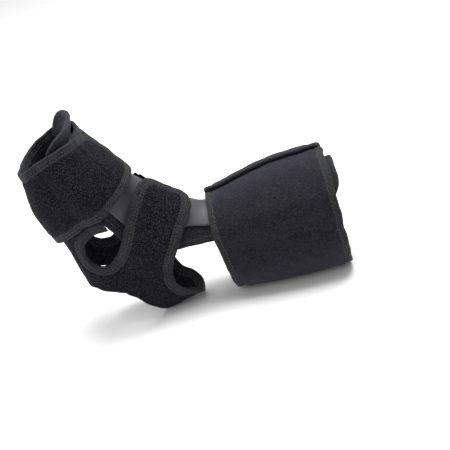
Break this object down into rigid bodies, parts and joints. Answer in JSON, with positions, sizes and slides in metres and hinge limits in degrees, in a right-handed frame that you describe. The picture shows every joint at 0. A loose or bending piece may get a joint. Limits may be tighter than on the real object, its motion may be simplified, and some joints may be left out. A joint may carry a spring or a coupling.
{
  "type": "ankle foot orthosis",
  "caption": "Dorsal night splint: a moulded shin-and-instep shell on a foam liner, held by a forefoot wrap, an open-heel ankle sling and a calf wrap, each closing with a hook-and-loop flap.",
  "frame": {"origin": "bottom centre of the bounding box, on the surface the orthosis rests on", "axes": "+X up the shin from ankle to knee, +Y to the wearer's medial side (left leg), +Z away from the surface; the orthosis lies on its back with the toes up"},
  "size_m": [0.3018, 0.1278, 0.2157],
  "materials": {
    "shell_plastic": "satin grey moulded plastic",
    "loop_fabric": "black brushed loop fabric laminated to foam",
    "smooth_fabric": "blue-black fine knit laminated to foam",
    "liner_foam": "black fabric-faced soft foam",
    "edge_tape": "dark grey folded edge tape",
    "hook_tape": "black hook tape"
  },
  "bodies": {
    "frame": {"ankle_shell_patch": "hook_tape", "calf_shell_patch": "hook_tape", "calf_wrap": "smooth_fabric", "calf_wrap_binding": "edge_tape", "dorsal_shell": "shell_plastic", "forefoot_band": "loop_fabric", "forefoot_band_binding": "edge_tape", "forefoot_shell_patch": "hook_tape", "heel_sling": "loop_fabric", "liner_binding": "edge_tape", "liner_pad": "liner_foam", "sling_binding_rear": "edge_tape", "sling_binding_window_lateral": "edge_tape", "sling_binding_window_medial": "edge_tape"},
    "calf_panel": {"calf_medial_panel": "smooth_fabric", "calf_panel_binding_upper": "edge_tape", "calf_panel_binding_lower": "edge_tape"},
    "calf_flap": {"calf_flap": "smooth_fabric", "calf_flap_binding": "edge_tape", "calf_hook_tab": "hook_tape"},
    "ankle_flap": {"ankle_flap": "loop_fabric", "ankle_flap_binding": "edge_tape"},
    "forefoot_flap": {"forefoot_flap": "loop_fabric", "forefoot_flap_binding": "edge_tape", "forefoot_hook_tab": "hook_tape"}
  },
  "joints": [
    {"name": "calf_panel_hinge", "type": "hinge", "parent": "frame", "child": "calf_panel", "pos_m": [0.07828, 0.01952, 0.00225], "axis": [-0.9992, -0.0374, 0.0147], "range_deg": [0, 30]},
    {"name": "calf_flap_hinge", "type": "hinge", "parent": "calf_panel", "child": "calf_flap", "pos_m": [0.07676, 0.05418, 0.04447], "axis": [-0.9932, -0.1064, -0.0474], "range_deg": [0, 80]},
    {"name": "ankle_flap_hinge", "type": "hinge", "parent": "frame", "child": "ankle_flap", "pos_m": [-0.05744, -0.04014, 0.06278], "axis": [0.8876, 0.0638, -0.4563], "range_deg": [0, 100]},
    {"name": "forefoot_flap_hinge", "type": "hinge", "parent": "frame", "child": "forefoot_flap", "pos_m": [-0.13829, -0.044, 0.14764], "axis": [0.2546, -0.0264, -0.9667], "range_deg": [0, 110]}
  ]
}
